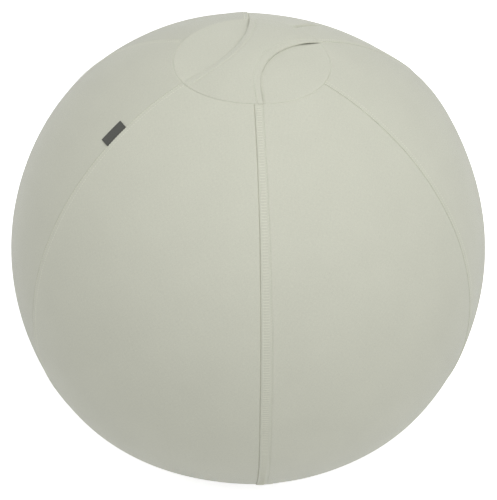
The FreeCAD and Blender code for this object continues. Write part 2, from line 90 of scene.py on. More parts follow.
# How far each seam strays from its meridian, in millimetres at these polar angles
WANDER_POLAR = np.radians([18, 30, 45, 65, 85, 105, 130, 150])
WANDER = {
    "front_left": [-2.5, -2.2, -2.2, -1.0, 0, 0, 0, 0],
    "front_right": [-0.7, 0.5, 1.7, 2.1, 2.5, 3.8, 4.2, 0],
    "right": [-0.7, -0.4, 0, -0.8, -2.6, -2.7, -1.5, 0],
    "rear_right": [-8.5, -8.8, -12.5, -8.0, -3.0, 0, 0, 0],
    "rear_left": [0, 0, 0, 0, 0, 0, 0, 0],
    "left": [1.5, -3.5, -3.5, -2.0, 0, 0, 0, 0],
}

# Uneven places of the filled ball: bearing, tilt and spread in degrees, height in millimetres
SWELLS = [
    (142, 50.5, 11, 4.6),
    (134, 57, 14, 2.2),
    (275, 56, 16, 1.8),
    (345, 117, 17, 3.0),
    (72, 115, 17, 3.5),
    (200, 33, 18, -3.5),
    (20, 127, 14, -1.6),
]

# How far each seam's folded band stands up, in millimetres
LIFT = {
    "front_left": 0.3,
    "front_right": 0.68,
    "right": 0.45,
    "rear_right": 0.5,
    "rear_left": 0.9,
    "left": 0.4,
}

# Rows of stitches: places as shares of the band's width, and how deep each pulls in, in millimetres
ROWS = {"front_right": ((0.24, 0.12), (1.05, 0.8))}
PLAIN_ROWS = ((0.1, 0.04), (0.62, 0.08))

# Close steps from a sewn edge, first beside a raised band, then beside a plain one
BAND_STEPS = np.array([
    0, .2, .4, .6, .8, 1.0, 1.3, 1.7, 2.2, 2.8, 3.5, 4.4, 5.5, 6.6, 7.6, 8.5,
    9.2, 9.9, 10.6, 11.3, 12, 12.8, 13.8, 15.2, 17, 20,
])
PLAIN_STEPS = np.array([0, .25, .5, .75, 1, 1.4, 2, 3, 4.5, 6.5, 9, 12, 16])


class Wire:
    """An output of a node. Sums and products of wires and numbers add Math nodes to the same tree."""

    def __init__(self, wiring, socket):
        self.wiring = wiring
        self.socket = socket

    def other(self, output):
        return Wire(self.wiring, self.socket.node.outputs[output])

    def math(self, operation, *values, clamp=False):
        settings = {"operation": operation, "use_clamp": clamp}
        return self.wiring.node("Math", settings, dict(enumerate(values)))

    def __add__(self, other):
        return self.math("ADD", self, other)

    def __radd__(self, other):
        return self.math("ADD", other, self)

    def __sub__(self, other):
        return self.math("SUBTRACT", self, other)

    def __rsub__(self, other):
        return self.math("SUBTRACT", other, self)

    def __mul__(self, other):
        return self.math("MULTIPLY", self, other)

    def sine(self):
        return self.math("SINE", self)

    def clamped(self):
        return self.math("ADD", self, 0, clamp=True)


class Wiring:
    """A node tree in the making."""

    def __init__(self, tree):
        self.tree = tree
        tree.nodes.clear()

    def node(self, kind, settings=(), sockets=(), output=0):
        """Add a node: its settings first, then its sockets' values or wires; gives one output as a wire."""
        made = self.tree.nodes.new("ShaderNode" + kind)
        for name, value in dict(settings).items():
            setattr(made, name, value)
        for name, value in dict(sockets).items():
            if isinstance(value, Wire):
                self.tree.links.new(value.socket, made.inputs[name])
            else:
                made.inputs[name].default_value = value
        return None if output is None else Wire(self, made.outputs[output])

    def mix(self, factor, first, second):
        """A colour between two colours."""
        return self.node("Mix", {"data_type": "RGBA"}, {0: factor, 6: first, 7: second}, 2)

    def noise(self, place, scale, detail=2.0):
        """Noise about one half; scale is one number or one for each direction."""
        if np.ndim(scale):
            place = self.node("Mapping", (), {"Vector": place, "Scale": scale})
            scale = 1.0
        return self.node("TexNoise", (), {"Vector": place, "Scale": scale, "Detail": detail})

    def bump(self, height, strength, distance):
        """A normal from a height, with its depth in millimetres."""
        sockets = {"Strength": strength, "Distance": distance * MM, "Height": height}
        return self.node("Bump", (), sockets)

    def surface(self, **sockets):
        """The shader of a finish, with underscores for the spaces in its sockets' names."""
        sockets = {name.replace("_", " "): value for name, value in sockets.items()}
        shader = self.node("BsdfPrincipled", (), sockets)
        self.node("OutputMaterial", (), {"Surface": shader}, None)


def shade(colour, factor):
    """A colour made lighter or darker, as four numbers."""
    return tuple(min(1.0, part * factor) for part in colour) + (1.0,)


def finish_wiring(name):
    """A new material and its empty wiring."""
    material = bpy.data.materials.new(name)
    material.use_nodes = True
    return material, Wiring(material.node_tree)


def woven_finish(name, colour, thread, relief, contrast, sheen):
    """Plain weave on the piece's own cloth map, which is in metres.

    Warp and weft are two sines that stray a little; where their product is positive the weft lies
    on top. Each thread has its own shade from noise stretched along it, and wide faint clouds lie
    over both."""
    material, wiring = finish_wiring(name)
    place = wiring.node("UVMap", {"uv_map": "cloth"})
    across = wiring.node("SeparateXYZ", (), {"Vector": place})
    along = across.other("Y")
    stray = (wiring.noise(place, 70.0) - 0.5) * (1.6 * MM)
    turn = np.pi / (thread * MM)
    warp = ((across + stray) * turn).sine()
    weft = ((along - stray) * turn).sine()
    on_top = (warp * weft * 1.6 + 0.5).clamped()
    height = warp * warp * (1 - on_top) + weft * weft * on_top
    fine = 0.9 / (thread * MM)
    streak = wiring.noise(place, (fine, fine / 5, 1)) * (1 - on_top)
    streak = streak + wiring.noise(place, (fine / 5, fine, 1)) * on_top
    cloud = wiring.noise(place, 14.0, 3.0)
    lightness = ((streak - 0.5) * contrast + (cloud - 0.5) * 0.3 + 0.5).clamped()
    wiring.surface(
        Base_Color=wiring.mix(lightness, shade(colour, 0.88), shade(colour, 1.12)),
        Roughness=0.95 - height * 0.12,
        Normal=wiring.bump(height + streak * 0.5, relief, 0.25),
        Sheen_Weight=sheen,
        Sheen_Roughness=0.35,
        Specular_IOR_Level=0.25,
    )
    return material


def thread_finish(name, colour):
    """Sewing thread: a fine twist across the stitch, and a shade that changes from stitch to stitch."""
    material, wiring = finish_wiring(name)
    place = wiring.node("TexCoord", (), (), "Object")
    twist = wiring.node("TexWave", {"bands_direction": "DIAGONAL"}, {"Vector": place, "Scale": 900.0})
    patch = wiring.noise(place, 160.0)
    wiring.surface(
        Base_Color=wiring.mix(patch, shade(colour, 0.9), shade(colour, 1.1)),
        Roughness=0.6 + twist * 0.15,
        Normal=wiring.bump(twist, 0.3, 0.1),
        Specular_IOR_Level=0.4,
    )
    return material


def grained_finish(name, colour, grain, relief, rough, spread=0.12, metal=0.0):
    """A moulded, coated or painted face.

    Fine grain in its relief and its gloss, and faint clouds with a little grain in its colour."""
    material, wiring = finish_wiring(name)
    place = wiring.node("TexCoord", (), (), "Object")
    pebble = wiring.noise(place, grain, 3.0)
    cloud = wiring.noise(place, grain / 24, 3.0)
    lightness = (cloud * 0.7 + pebble * 0.3).clamped()
    wiring.surface(
        Base_Color=wiring.mix(lightness, shade(colour, 1 - spread), shade(colour, 1 + spread)),
        Roughness=rough + (pebble - 0.5) * 0.16,
        Normal=wiring.bump(pebble, relief, 0.2),
        Metallic=metal,
    )
    return material


def step(x, low, high):
    """0 below low, 1 above high, and a smooth S between them."""
    t = np.clip((x - low) / (high - low), 0, 1)
    return t * t * (3 - 2 * t)


def ridge(x, middle, width):
    """A smooth bump of height 1 about the middle."""
    return np.exp(-((x - middle) / width) ** 2)


def direction(azimuth, polar):
    """Unit vectors from the ball's centre, by azimuth from -Y towards +X and polar angle from +Z."""
    parts = [np.sin(polar) * np.sin(azimuth), -np.sin(polar) * np.cos(azimuth), np.cos(polar)]
    return np.stack(np.broadcast_arrays(*parts), -1)


def on_ball(azimuth, polar, radius):
    """Points at a distance from the ball's centre, by azimuth and polar angle."""
    return MIDDLE + direction(azimuth, polar) * np.asarray(radius)[..., None]


def edge_spread(width, low_steps, high_steps, count):
    """Distances from one edge for each width: close steps at both edges and even steps between."""
    width = np.atleast_1d(width)[:, None]
    inner = width - low_steps[-1] - high_steps[-1]
    even = np.linspace(0, 1, count + 2)[None, 1:-1]
    low = np.broadcast_to(low_steps, (len(width), len(low_steps)))
    return np.concatenate([low, low_steps[-1] + inner * even, width - high_steps[::-1]], 1)


def grid_faces(rows, columns, first=0, closed=False):
    """Quads of a grid numbered row by row, the last column joined to the first where it is closed."""
    column = np.arange(columns if closed else columns - 1)
    near = np.arange(rows - 1)[:, None] * columns + first
    a = near + column
    b = near + (column + 1) % columns
    return np.stack([a, a + columns, b + columns, b], -1).reshape(-1, 4)


def shell(outer, inner):
    """A closed wall between two grids of points: both faces, and a rim along all four edges."""
    rows, columns = outer.shape[:2]
    count = rows * columns
    number = np.arange(count).reshape(rows, columns)
    rim = np.concatenate([number[:, 0], number[-1, 1:], number[-2::-1, -1], number[0, -2:0:-1]])
    after = np.roll(rim, -1)
    wall = np.stack([after, rim, rim + count, after + count], -1)
    front = grid_faces(rows, columns)
    points = np.concatenate([outer.reshape(-1, 3), inner.reshape(-1, 3)])
    return points, [front, front[:, ::-1] + count, wall]


def turned(rings):
    """A closed form from rings of points, whose first and last ring are one point each on the axis."""
    rows, columns = rings.shape[:2]
    points = np.concatenate([rings[0, :1], rings[1:-1].reshape(-1, 3), rings[-1, :1]])
    this = np.arange(columns)
    after = (this + 1) % columns
    last = len(points) - 1
    start = last - columns
    top = np.stack([0 * this, this + 1, after + 1], -1)
    bottom = np.stack([start + this, 0 * this + last, start + after], -1)
    return points, [top, grid_faces(rows - 2, columns, 1, True), bottom]


def looped(sections):
    """A closed hoop: each section is a closed outline, and the last section joins the first."""
    rows, columns = sections.shape[:2]
    a = np.arange(rows * columns).reshape(rows, columns)
    b = np.roll(a, -1, 1)
    faces = np.stack([a, np.roll(a, -1, 0), np.roll(b, -1, 0), b], -1).reshape(-1, 4)
    return sections.reshape(-1, 3), [faces]


def tubes(rings):
    """Closed tubes, one for each first index, from rings of points, with a flat face at both ends."""
    count, rows, columns = rings.shape[:3]
    base = np.arange(count)[:, None] * rows * columns
    side = (grid_faces(rows, columns, 0, True)[None] + base[:, :, None]).reshape(-1, 4)
    cap = np.arange(columns)
    ends = np.concatenate([base + cap, base + (rows - 1) * columns + cap[::-1]])
    return rings.reshape(-1, 3), [side, ends]


def volume(points, faces):
    """The signed volume that faces enclose, each cut into triangles from its first corner."""
    total = 0.0
    for face in faces:
        for corner in range(1, face.shape[1] - 1):
            a, b, c = points[face[:, 0]], points[face[:, corner]], points[face[:, corner + 1]]
            total += (a * np.cross(b, c)).sum() / 6
    return total


def piece(name, form, finish, body=None, cloth=None, sharp=50):
    """A mesh object from points in millimetres and their faces, with its finish and its body.

    Its faces are turned outwards. cloth gives each point's place on the flat cloth in millimetres."""
    points, faces = form
    if volume(points - MIDDLE, faces) < 0:
        faces = [face[:, ::-1] for face in faces]
    corners = np.concatenate([face.ravel() for face in faces]).astype(np.int32)
    sizes = np.concatenate([np.full(len(face), face.shape[1]) for face in faces])
    mesh = bpy.data.meshes.new(name)
    mesh.vertices.add(len(points))
    mesh.vertices.foreach_set("co", (points * MM).astype(np.float32).ravel())
    mesh.loops.add(len(corners))
    mesh.loops.foreach_set("vertex_index", corners)
    mesh.polygons.add(len(sizes))
    mesh.polygons.foreach_set("loop_start", (np.cumsum(sizes) - sizes).astype(np.int32))
    mesh.update(calc_edges=True)
    mesh.shade_smooth()
    mesh.set_sharp_from_angle(angle=np.radians(sharp))
    if cloth is not None:
        layer = mesh.uv_layers.new(name="cloth")
        layer.uv.foreach_set("vector", (cloth[corners] * MM).astype(np.float32).ravel())
    mesh.materials.append(finish)
    made = bpy.data.objects.new(name, mesh)
    bpy.context.scene.collection.objects.link(made)
    if body:
        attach(made, body)
    return made


def twice(places):
    """The same places on the cloth for both faces of a wall."""
    flat = places.reshape(-1, 2)
    return np.concatenate([flat, flat])


# The cover's colour, and its weave: width of a thread in millimetres, relief, contrast and sheen. The left
# gores' copies, 3.5% and 7% darker, are painted shade
COVER = np.array([0.603, 0.611, 0.517])
COVER_WEAVE = (0.6, 0.3, 1.5, 0.38)
cover_cloth = woven_finish("cover_cloth", COVER, *COVER_WEAVE)
shaded_left_cloth = woven_finish("cover_cloth_left_painted_shade", COVER * 0.965, *COVER_WEAVE)
shaded_rear_left_cloth = woven_finish("cover_cloth_rear_left_painted_shade", COVER * 0.93, *COVER_WEAVE)
handle_cloth = woven_finish("cover_cloth_handle", COVER * 0.985, *COVER_WEAVE)
binding_tape = woven_finish("binding_tape", (0.5, 0.505, 0.43), 0.6, 0.4, 0.8, 0.1)
zip_tape = woven_finish("zip_tape", (0.42, 0.43, 0.38), 0.5, 0.5, 0.8, 0.1)
tag_tape = woven_finish("tag_tape", (0.098, 0.1, 0.09), 0.5, 0.5, 1.2, 0.1)
pad_cloth = woven_finish("pad_cloth", (0.4, 0.35, 0.28), 0.8, 0.5, 1.0, 0.1)
seam_thread = thread_finish("seam_thread", COVER * 1.2)
hem_thread = thread_finish("hem_thread", COVER * 1.07)
base_cloth = grained_finish("base_cloth", (0.12, 0.125, 0.125), 900.0, 0.4, 0.7)
sole_rubber = grained_finish("sole_rubber", (0.05, 0.05, 0.052), 1400.0, 0.35, 0.75)
vinyl = grained_finish("bladder_vinyl", (0.35, 0.36, 0.36), 500.0, 0.2, 0.45)
valve_plastic = grained_finish("valve_plastic", (0.78, 0.78, 0.76), 800.0, 0.15, 0.4, 0.05)
nylon = grained_finish("zip_coil", (0.4, 0.41, 0.36), 1500.0, 0.15, 0.4)
zip_metal = grained_finish("zip_metal", (0.16, 0.165, 0.165), 2500.0, 0.2, 0.42, 0.15, 0.6)


def swell(azimuth, polar):
    """How far the filled cover stands off a true ball before its seams.

    A little too small above the base, plus round swellings and hollows that fall off with the
    angle from their middle."""
    way = direction(azimuth, polar)
    height = -SLACK * (1 - step(polar, np.radians(132), np.radians(144)))
    for bearing, tilt, spread, amount in SWELLS:
        middle = direction(np.radians(bearing), np.radians(tilt))
        height = height + amount * np.exp(2 * (way @ middle - 1) / np.radians(spread) ** 2)
    return height


def ring_reach(azimuth):
    """The ring's distance from the axis: a circle drawn into a soft uneven oval by the handle's pull."""
    wave = 0.56 * np.cos(azimuth) + 0.26 * np.sin(azimuth) - 1.68 * np.cos(2 * azimuth)
    return RING + wave - 0.62 * np.sin(2 * azimuth) - 0.34 * np.cos(3 * azimuth) - 1.5 * np.sin(3 * azimuth)


def ring_cap(x, y, crown):
    """The height of a shallow cap over the ring: a parabola whose rim follows the ring on the ball."""
    azimuth = np.arctan2(x, -y)
    ring = ring_reach(azimuth)
    share = (x * x + y * y) / ring ** 2
    rim = CENTRE + np.sqrt((BALL - SLACK) ** 2 - ring ** 2)
    return RING_HEIGHT + (rim - RING_HEIGHT) * share + crown * (1 - share)


def from_ring(x, y):
    """The distance inside the ring."""
    return ring_reach(np.arctan2(x, -y)) - np.hypot(x, y)


def seam_azimuth(number, polar):
    """The azimuth of a seam, which strays a little from its meridian."""
    stray = np.interp(polar, WANDER_POLAR, WANDER[SEAMS[number % 6]])
    return (number - 0.5) * GORE_SPAN + stray / (BALL * np.sin(polar))


def band_width(polar):
    """The width of the folded seam allowance, which grows from the top ring to the ball's middle."""
    return 9.2 + 3.2 * step(polar, np.radians(20), np.radians(80))


def is_rear(number):
    """Whether a gore ends at the zip."""
    return GORES[number].startswith("rear")


def seam_rows(number):
    """Place and depth of the rows of stitches beside a gore's first seam."""
    return ROWS.get(SEAMS[number], PLAIN_ROWS)


def base_edge(number):
    """The polar angle at which a gore ends: the base seam, or the upper hem of the zip's slot behind."""
    return BASE_POLAR - (ZIP_SLOT / 2 if is_rear(number) else 0.1) / BALL


def gore_height(number, azimuth, polar):
    """How far a gore's face stands off a true ball.

    The swell, a slight ridge towards both seams, a folded band that steps up at the gore's first
    seam and fades into the gore, dents at the two rows of stitches, small puckers, and a crease
    along every sewn edge, which is deepest where the front seam's band meets the ring. A gore that
    ends at the zip has a hem there, and the one behind has a fold that runs down from the ring."""
    reach = BALL * np.sin(polar)
    from_first = reach * (azimuth - seam_azimuth(number, polar))
    from_second = reach * (seam_azimuth(number + 1, polar) - azimuth)
    from_top = BALL * (polar - np.arcsin(ring_reach(azimuth) / BALL))
    from_base = BALL * (base_edge(number) - polar)
    along = BALL * polar
    width = band_width(polar)
    share = (from_first - from_second) / (from_first + from_second)
    facet = step(polar, np.radians(15), np.radians(26))
    facet = facet * (1 - step(polar, np.radians(105), np.radians(140)))
    lift = LIFT[SEAMS[number]] * (1 + 0.7 * step(polar, np.radians(85), np.radians(130)))
    lift = lift * step(from_top, 0.2, 2.0) * step(from_base, 0.2, 6.0)
    band = step(from_first, 0, 0.9) - step(from_first, width, width + 24)
    height = swell(azimuth, polar) + 0.9 * facet * (share ** 2 - 1 / 3) + lift * band
    for place, depth in seam_rows(number):
        height = height - depth * ridge(from_first, place * width, 0.75)
    gather = 2 * np.pi * along / 9.4 + 1.6 * np.sin(along / 41 + number)
    height = height + 0.06 * np.sin(gather) * np.exp(-(from_first / 14) ** 2)
    height = height + 0.05 * np.sin(gather + 1.9) * np.exp(-(from_second / 9) ** 2)
    crease = [0.9 * (1 - step(from_first, 0, 0.7)), 0.9 * (1 - step(from_second, 0, 0.8))]
    tuck = step(from_first, 0.4, 1.2) * (1 - step(from_first, width, width + 1))
    tuck = tuck * (SEAMS[number] in ROWS)
    crease.append((0.6 + tuck) * (1 - step(from_top, 0, 1.2)))
    crease.append((1.2 if is_rear(number) else 0.6) * (1 - step(from_base, 0, 1.3)))
    if is_rear(number):
        hem = 0.4 * (1 - step(from_base, ZIP_HEM, ZIP_HEM + 3))
        height = height - 0.35 * ridge(from_base, ZIP_HEM, 1.0) + hem
    if GORES[number] == "rear":
        aside = reach * (azimuth - np.radians(173.4) + 0.22 * (polar - TOP_POLAR))
        fold = step(from_top, -3, 4) * (1 - step(from_top, 36, 66))
        raised = 1.4 * step(aside, -0.6, 0.8) * ridge(aside, 0, 14)
        height = height + fold * (raised - 3.4 * ridge(aside, -0.7, 1.4))
    return height - np.maximum.reduce(crease)


def gore_face(number, azimuth, polar):
    """Points of a gore's outer face."""
    return on_ball(azimuth, polar, BALL + gore_height(number, azimuth, polar))


def make_gore(number):
    """One gore: a face on a grid of polar angle by distance from its seams, and its inside under it."""
    length = BALL * (base_edge(number) - TOP_POLAR)
    rows, columns = (190, 120) if GORES[number] == "rear" else (300, 44)
    down = edge_spread(length, PLAIN_STEPS, PLAIN_STEPS, rows)[0][:, None]
    polar = TOP_POLAR + down / BALL
    reach = BALL * np.sin(polar)
    first = seam_azimuth(number, polar)
    width = reach * (seam_azimuth(number + 1, polar) - first)
    aside = edge_spread(width[:, 0], BAND_STEPS, PLAIN_STEPS, columns)
    azimuth = first + aside / reach
    polar = polar + (np.arcsin(ring_reach(azimuth) / BALL) - TOP_POLAR) * (1 - step(down, 0, 60))
    height = gore_height(number, azimuth, polar)
    outer = on_ball(azimuth, polar, BALL + height)
    inner = on_ball(azimuth, polar, BALL + height - CLOTH)
    cloth = np.stack([aside - reach * GORE_SPAN / 2, BALL * polar], -1)
    name = GORES[number]
    # The two left gores take the darker copies of the cover cloth: painted shade on the side away from the
    # lamps
    finish = {"front_left": shaded_left_cloth, "rear_left": shaded_rear_left_cloth}.get(name, cover_cloth)
    made = piece(f"gore_{name}_cloth", shell(outer, inner), finish, "ball", twice(cloth))
    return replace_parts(made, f"gore_{name}")


def stitch_row(line, start, stop):
    """Stitches along a line: each a thin grain that is thickest and highest in its middle.

    Its ends dive into the cloth. line gives points for distances along it; the ball's centre is
    below every stitch."""
    places = np.arange(start, stop, PITCH)
    middle = line(places)
    heading = line(places + 0.5) - line(places - 0.5)
    heading = heading / np.linalg.norm(heading, axis=-1, keepdims=True)
    out = middle - MIDDLE
    out = out / np.linalg.norm(out, axis=-1, keepdims=True)
    side = np.cross(out, heading)
    forward = np.array([-0.5, -0.32, 0, 0.32, 0.5])[:, None, None] * STITCH
    thick = np.array([0.45, 0.9, 1, 0.9, 0.45])[:, None, None] * THREAD
    raised = np.array([-0.3, 0.02, 0.15, 0.02, -0.3])[:, None, None]
    angle = (np.arange(6) * np.pi / 3)[:, None]
    each = (slice(None), None, None)
    rings = middle[each] + heading[each] * forward + side[each] * (thick * np.sin(angle))
    return rings + out[each] * (raised + 0.8 * thick * np.cos(angle))


def cross_threads(number, start, stop):
    """Threads across a gore's band at even distances: flat tubes that are highest in the middle.

    Their ends dive into the cloth."""
    share = np.linspace(0.1, 1.0, 6)[None]
    polar = TOP_POLAR + np.arange(start, stop, PITCH)[:, None] / BALL
    azimuth = seam_azimuth(number, polar) + share * band_width(polar) / (BALL * np.sin(polar))
    polar = np.broadcast_to(polar, azimuth.shape)
    out = direction(azimuth, polar)[:, :, None]
    down = direction(azimuth, polar + np.pi / 2)[:, :, None]
    thick = np.array([0.15, 0.28, 0.3, 0.3, 0.28, 0.15])[:, None, None]
    raised = np.array([-0.25, 0.05, 0.12, 0.12, 0.05, -0.25])[:, None, None]
    angle = (np.arange(5) * 2 * np.pi / 5)[:, None]
    middle = gore_face(number, azimuth, polar)[:, :, None]
    return middle + down * (thick * np.sin(angle)) + out * (raised + 0.7 * thick * np.cos(angle))


def make_stitches(name, rows, body, finish=hem_thread):
    """All the stitches of some rows as one piece."""
    form = tubes(np.concatenate(rows))
    return piece(f"{name}_stitches", form, finish, body, sharp=80)


def seam_line(number, share):
    """A line down a gore at a share of its band's width, by distance from the top ring."""
    def line(distance):
        polar = TOP_POLAR + distance / BALL
        azimuth = seam_azimuth(number, polar) + share * band_width(polar) / (BALL * np.sin(polar))
        return gore_face(number, azimuth, polar)
    return line


def gore_hem_line(number):
    """A line along the upper hem of the zip's slot, by distance round the ball."""
    def line(distance):
        polar = base_edge(number) - ZIP_HEM / BALL + 0 * distance
        return gore_face(number, distance / (BALL * np.sin(polar)), polar)
    return line


def make_gores():
    """The six gores, each with two rows of stitches in its band.

    A gore that ends at the zip has a row in its hem, and the front seam's band has threads across."""
    for number, name in enumerate(GORES):
        gore = make_gore(number)
        length = BALL * (base_edge(number) - TOP_POLAR)
        rows = [stitch_row(seam_line(number, share), 5, length - 5) for share, _ in seam_rows(number)]
        if is_rear(number):
            reach = BALL * np.sin(base_edge(number) - ZIP_HEM / BALL)
            start = (number - 0.5) * GORE_SPAN * reach
            rows.append(stitch_row(gore_hem_line(number), start + 14, start + GORE_SPAN * reach - 3))
        finish = hem_thread if SEAMS[number] in ROWS else seam_thread
        threads = [make_stitches(f"gore_{name}", rows, "ball", finish)]
        if SEAMS[number] in ROWS:
            title = f"gore_{name}_cross_threads"
            form = tubes(cross_threads(number, 3, length - 5))
            threads.append(piece(title, form, seam_thread, "ball", sharp=80))


def handle_edges(y):
    """The handle's left and right edge at a place along it: hollow curves, the right flaring more."""
    return -24.5 - 0.0034 * y * y, 24.5 + 0.0054 * y * y


def from_handle_edge(x, y):
    """The distance inside the handle's nearer edge."""
    left, right = handle_edges(y)
    return np.minimum(x - left, right - x)


def panel_height(x, y):
    """The height of the top panel's face: a shallow cap with a low lip and a crease at the ring.

    Under the handle's sewn ends and close beside them it is pressed down."""
    inside = from_ring(x, y)
    lip = 0.35 * (step(inside, 0, 1.0) - step(inside, 2.5, 14))
    pressed = 2.0 * step(from_handle_edge(x, y), -4, 1) * (1 - step(inside, 8, 40))
    return ring_cap(x, y, PANEL_CROWN) + lip - pressed - 0.6 * (1 - step(inside, 0, 1.0))


def make_top_panel():
    """The round panel: rings of its face from the middle out to the ring, then back along its inside."""
    share = edge_spread(RING, np.array([0, 4.0]), BAND_STEPS, 18)[0][:, None] / RING
    azimuth = np.linspace(0, 2 * np.pi, 240, endpoint=False)
    reach = share * ring_reach(azimuth)
    x = reach * np.sin(azimuth)
    y = -reach * np.cos(azimuth)
    top = panel_height(x, y)
    rings = np.concatenate([np.stack([x, y, top], -1), np.stack([x, y, top - CLOTH], -1)[::-1]])
    points, faces = turned(rings)
    made = piece("top_panel_cloth", (points, faces), cover_cloth, "ball", points[:, :2])
    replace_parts(made, "top_panel")


def handle_faces(x, y):
    """The heights of the handle's upper and lower face.

    A cap over the ring that droops to both edges in the free middle, with a hem along both edges,
    a dent at the hem's stitches, round edges, and a crease where its ends are sewn into the ring."""
    left, right = handle_edges(y)
    from_edge = from_handle_edge(x, y)
    aside = (2 * x - left - right) / (right - left)
    inside = from_ring(x, y)
    under = ring_cap(x, y, HANDLE_CROWN)
    droop = 0.9 * step(aside, -0.5, 0.5) * (1 - 0.4 * step(y, 40, 62))
    gap = under - ring_cap(x, y, PANEL_CROWN) - 0.6 + droop
    under = under - np.abs(aside) ** 3 * np.maximum(gap, 0)
    middle = under + 1.0
    plump = np.sqrt(1 - (1 - np.clip(from_edge / 1.2, 0, 1)) ** 2)
    dent = (0.6 + 0.3 * step(-y, 40, 70)) * ridge(from_edge, HANDLE_HEM + 0.2, 0.8)
    hem = 0.4 * (1 - step(from_edge, 8.8, 11.2)) - dent
    sewn = 0.3 * (step(inside, 0, 1.0) - step(inside, 3, 14)) - 0.5 * (1 - step(inside, 0, 1.0))
    sewn = sewn - 1.5 * (1 - step(inside, 0, 20))
    return middle + (0.75 + hem) * plump + sewn, middle - 0.9 * plump + np.minimum(sewn, 0)


def handle_across(y):
    """Places across the handle at each place along it, by distance from the nearer edge."""
    left, right = handle_edges(y)
    return left[:, None] + edge_spread(right - left, BAND_STEPS[:22], BAND_STEPS[:22], 16)


def handle_middle():
    """Places on the free middle of the handle, from the rear to the front."""
    y = np.linspace(GRIP, -GRIP, 40)
    x = handle_across(y)
    return x, np.broadcast_to(y[:, None], x.shape)


def handle_end(sign):
    """Places on a sewn end of the handle: every column runs on to the point where it meets the ring."""
    columns = handle_across(np.zeros(1)).shape[1]
    number = np.arange(columns)
    end = np.full(columns, sign * HANDLE_END)
    for _ in range(60):
        x = handle_across(end)[number, number]
        end = 0.5 * end + 0.5 * sign * np.sqrt(ring_reach(np.arctan2(x, -end)) ** 2 - x ** 2)
    close = 1 - np.array([.004, .008, .012, .017, .023, .03, .04, .055, .075])
    rows = np.sort(np.concatenate([np.linspace(0, 1, 60), close]))[:, None]
    y = sign * GRIP + (end - sign * GRIP) * rows
    x = handle_across(y.ravel())[np.arange(y.size), np.tile(number, len(rows))].reshape(y.shape)
    return (x[::-1], y[::-1]) if sign > 0 else (x, y)


def hem_line(side):
    """A line along the handle's hem, by distance along the handle."""
    def line(distance):
        left, right = handle_edges(distance)
        x = right - HANDLE_HEM if side > 0 else left + HANDLE_HEM
        return np.stack([x, distance, handle_faces(x, distance)[0]], -1)
    return line


def make_handle():
    """The handle: its middle rides on the handle's body, and its ends reach between ball and handle, on no
    body.
    """
    for name, sign in (("handle_grip", 0), ("handle_front_tail", -1), ("handle_rear_tail", 1)):
        x, y = handle_end(sign) if sign else handle_middle()
        upper, lower = handle_faces(x, y)
        form = shell(np.stack([x, y, upper], -1), np.stack([x, y, lower], -1))
        cloth = twice(np.stack([x, y], -1))
        made = piece(f"{name}_cloth", form, handle_cloth, cloth=cloth, sharp=70)
        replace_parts(made, name)
        low, high = sorted((sign * HANDLE_END, sign * GRIP)) if sign else (-GRIP, GRIP)
        rows = [stitch_row(hem_line(side), low + 1.2, high - 0.8) for side in (-1, 1)]
        stitches = make_stitches(name, rows, None)
        for part in (made, stitches):
            if sign:
                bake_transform(part)
            else:
                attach(part, "handle")


def make_tag():
    """The side tag: a strip folded at its free edge, with both edges sewn into the seam.

    Its outline across the seam is carried along it, bent a little with the ball."""
    lead = np.linspace(0.6, -TAG_REACH, 40)
    tuck = 1.0 * (1 - step(-lead, -0.6, 2.0))
    turn = np.linspace(-np.pi / 2, np.pi / 2, 11)[1:-1]
    x = np.concatenate([lead, -TAG_REACH - 0.34 * np.cos(turn), lead[::-1]])
    z = np.concatenate([0.55 - tuck, 0.89 + 0.34 * np.sin(turn), (1.23 - 1.4 * tuck)[::-1]])
    slope = np.stack([np.gradient(x), np.gradient(z)], -1)
    slope = slope / np.linalg.norm(slope, axis=1, keepdims=True)
    y = np.linspace(-TAG_HALF, TAG_HALF, 34)
    azimuth = seam_azimuth(0, TAG_POLAR)
    east = np.array([np.cos(azimuth), np.sin(azimuth), 0])
    out = direction(azimuth, TAG_POLAR)
    north = np.cross(out, east)
    walls = []
    for half in (TAG_TAPE, -TAG_TAPE):
        across = x - half * slope[:, 1]
        bend = (across[None] ** 2 + y[:, None] ** 2) / 760
        high = (z + half * slope[:, 0])[None] - bend - SLACK
        wall = across[None, :, None] * east + y[:, None, None] * north + high[..., None] * out
        walls.append(MIDDLE + BALL * out + wall)
    length = np.cumsum(np.hypot(np.gradient(x), np.gradient(z)))
    cloth = np.stack(np.broadcast_arrays(y[:, None], length[None]), -1)
    made = piece("side_tag_loop", shell(*walls), tag_tape, "tag", twice(cloth))
    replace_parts(made, "side_tag")


